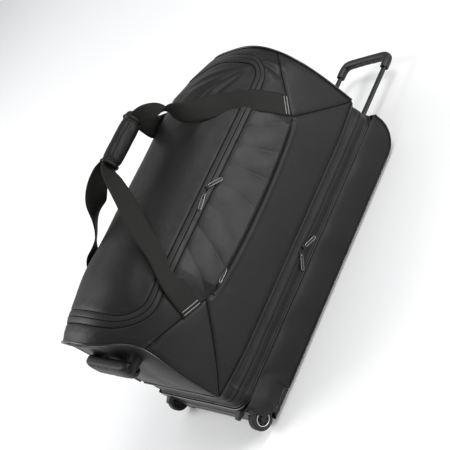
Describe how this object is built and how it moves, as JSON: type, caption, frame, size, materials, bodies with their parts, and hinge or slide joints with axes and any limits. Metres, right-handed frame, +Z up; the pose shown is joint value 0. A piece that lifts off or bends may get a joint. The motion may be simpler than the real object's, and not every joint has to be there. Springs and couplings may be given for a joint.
{
  "type": "rolling duffel bag",
  "caption": "Wheeled duffel with a stiff zipped base, loaf-shaped main compartment with hinged lid, carry straps and telescopic pull handle.",
  "frame": {"origin": "Centre of the bounding box on the floor, with the bag lying on its back on the skid rails and the pull handle part way out.", "axes": "+X runs along the bag from the wheels to the pull handle, -Y is the side with the outer pocket, and +Z is up through the lid."},
  "size_m": [1.02, 0.39, 0.56],
  "materials": {
    "tarpaulin": "satin coated tarpaulin cloth with fine weave under the coating",
    "lining": "plain woven polyester lining",
    "board": "corrugated polypropylene board",
    "piping": "extruded vinyl piping, slightly glossy",
    "zip_tape": "woven zip tape with a coated face",
    "webbing": "50 mm ribbed polypropylene webbing",
    "padding": "foam pad covered with woven nylon",
    "moulded_plastic": "injection moulded, fine spark texture",
    "button_plastic": "moulded, polished",
    "foot_rubber": "moulded rubber",
    "tube_metal": "black anodised extrusion",
    "tyre": "cast polyurethane, matt",
    "hub_plastic": "silver grey moulded hub",
    "steel": "bright plated steel",
    "slider_metal": "black lacquered die casting",
    "pull_rubber": "black moulded pull with a light edge"
  },
  "bodies": {
    "bag": {"arch_welts": "piping", "back_panel": "tarpaulin", "base_handle_wall": "tarpaulin", "base_piping": "piping", "base_side_far": "tarpaulin", "base_side_near": "tarpaulin", "base_wheel_wall": "tarpaulin", "base_zip_tape": "zip_tape", "body_zip_tape": "zip_tape", "corner_gussets": "tarpaulin", "divider_panel": "lining", "escutcheon_screws": "steel", "frame_board": "board", "grab_handle": "padding", "handle_end_panel": "tarpaulin", "handle_escutcheon": "moulded_plastic", "kick_plate": "moulded_plastic", "outer_tubes": "tube_metal", "pocket_panel": "tarpaulin", "pocket_zip_tape": "zip_tape", "roof_panels": "tarpaulin", "side_panel_far": "tarpaulin", "side_panel_near": "tarpaulin", "skid_rails": "moulded_plastic", "standing_feet": "foot_rubber", "strap_patches": "webbing", "tube_bracket": "moulded_plastic", "wheel_axles": "steel", "wheel_end_panel": "tarpaulin", "wheel_guard_far": "moulded_plastic", "wheel_guard_near": "moulded_plastic", "zip_band": "tarpaulin"},
    "lid": {"lid": "tarpaulin", "lid_zip_tape": "zip_tape"},
    "near_handle": {"carry_strap_near": "webbing", "grip_wrap": "padding"},
    "far_handle": {"carry_strap_far": "webbing", "grip_wrap_flap": "padding"},
    "wheel_near": {"wheel_hub_near": "hub_plastic", "wheel_bearings_near": "steel", "wheel_tyre_near": "tyre"},
    "wheel_far": {"wheel_hub_far": "hub_plastic", "wheel_bearings_far": "steel", "wheel_tyre_far": "tyre"},
    "middle_stage": {"middle_tubes": "tube_metal", "stage_collars": "moulded_plastic"},
    "pull_handle": {"inner_tubes": "tube_metal", "grip_shell_back": "moulded_plastic", "grip_shell_front": "moulded_plastic"},
    "button": {"release_button": "button_plastic"},
    "base_left_slider": {"base_left_slider": "slider_metal"},
    "base_left_pull": {"base_left_pull": "pull_rubber"},
    "base_right_slider": {"base_right_slider": "slider_metal"},
    "base_right_pull": {"base_right_pull": "pull_rubber"},
    "pocket_slider": {"pocket_slider": "slider_metal"},
    "pocket_pull": {"pocket_pull": "pull_rubber"},
    "lid_left_slider": {"lid_left_slider": "slider_metal"},
    "lid_left_pull": {"lid_left_pull": "pull_rubber"},
    "lid_right_slider": {"lid_right_slider": "slider_metal"},
    "lid_right_pull": {"lid_right_pull": "pull_rubber"}
  },
  "joints": [
    {"name": "lid_open", "type": "hinge", "parent": "bag", "child": "lid", "pos_m": [-0.095, 0.1305, 0.40453], "axis": [-1, 0, 0], "range_deg": [0, 85]},
    {"name": "near_handle_swing", "type": "hinge", "parent": "bag", "child": "near_handle", "pos_m": [-0.08, -0.184, 0.3], "axis": [1, 0, 0], "range_deg": [0, 119]},
    {"name": "far_handle_swing", "type": "hinge", "parent": "bag", "child": "far_handle", "pos_m": [-0.08, 0.184, 0.3], "axis": [-1, 0, 0], "range_deg": [0, 119]},
    {"name": "near_wheel_spin", "type": "hinge", "parent": "bag", "child": "wheel_near", "pos_m": [-0.463, -0.177, 0.037], "axis": [0, 1, 0], "continuous": true},
    {"name": "far_wheel_spin", "type": "hinge", "parent": "bag", "child": "wheel_far", "pos_m": [-0.463, 0.177, 0.037], "axis": [0, 1, 0], "continuous": true},
    {"name": "middle_stage_slide", "type": "slide", "parent": "bag", "child": "middle_stage", "axis": [1, 0, 0], "range_m": [0, 0.2]},
    {"name": "pull_handle_slide", "type": "slide", "parent": "middle_stage", "child": "pull_handle", "axis": [1, 0, 0], "range_m": [-0.16, 0.03]},
    {"name": "button_press", "type": "slide", "parent": "pull_handle", "child": "button", "axis": [-1, 0, 0], "range_m": [0, 0.004], "stiffness_N_per_m": 800},
    {"name": "base_left_slide", "type": "slide", "parent": "bag", "child": "base_left_slider", "axis": [-1, 0, 0], "range_m": [0, 0.28]},
    {"name": "base_left_pull_flip", "type": "hinge", "parent": "base_left_slider", "child": "base_left_pull", "pos_m": [-0.11, -0.1924, 0.119], "axis": [0, 0, 1], "range_deg": [0, 85]},
    {"name": "base_right_slide", "type": "slide", "parent": "bag", "child": "base_right_slider", "axis": [1, 0, 0], "range_m": [0, 0.27]},
    {"name": "base_right_pull_flip", "type": "hinge", "parent": "base_right_slider", "child": "base_right_pull", "pos_m": [-0.088, -0.1924, 0.119], "axis": [0, 0, -1], "range_deg": [0, 85]},
    {"name": "pocket_slide", "type": "slide", "parent": "bag", "child": "pocket_slider", "axis": [1, 0, 0], "range_m": [0, 0.36]},
    {"name": "pocket_pull_flip", "type": "hinge", "parent": "pocket_slider", "child": "pocket_pull", "pos_m": [-0.262, -0.19056, 0.27719], "axis": [0, -0.1541, -0.9881], "range_deg": [0, 85]},
    {"name": "lid_left_slide", "type": "slide", "parent": "lid", "child": "lid_left_slider", "axis": [-1, 0, 0], "range_m": [0, 0.1]},
    {"name": "lid_left_pull_flip", "type": "hinge", "parent": "lid_left_slider", "child": "lid_left_pull", "pos_m": [-0.112, -0.15507, 0.38095], "axis": [0, 0.5154, 0.857], "range_deg": [0, 85]},
    {"name": "lid_right_slide", "type": "slide", "parent": "lid", "child": "lid_right_slider", "axis": [1, 0, 0], "range_m": [0, 0.13]},
    {"name": "lid_right_pull_flip", "type": "hinge", "parent": "lid_right_slider", "child": "lid_right_pull", "pos_m": [-0.09, -0.15507, 0.38095], "axis": [0, -0.5154, -0.857], "range_deg": [0, 85]}
  ],
  "couplings": [
    {"joint": "near_handle_swing", "follows": "lid_open", "ratio": 1.4},
    {"joint": "far_handle_swing", "follows": "lid_open", "ratio": 1.4}
  ]
}
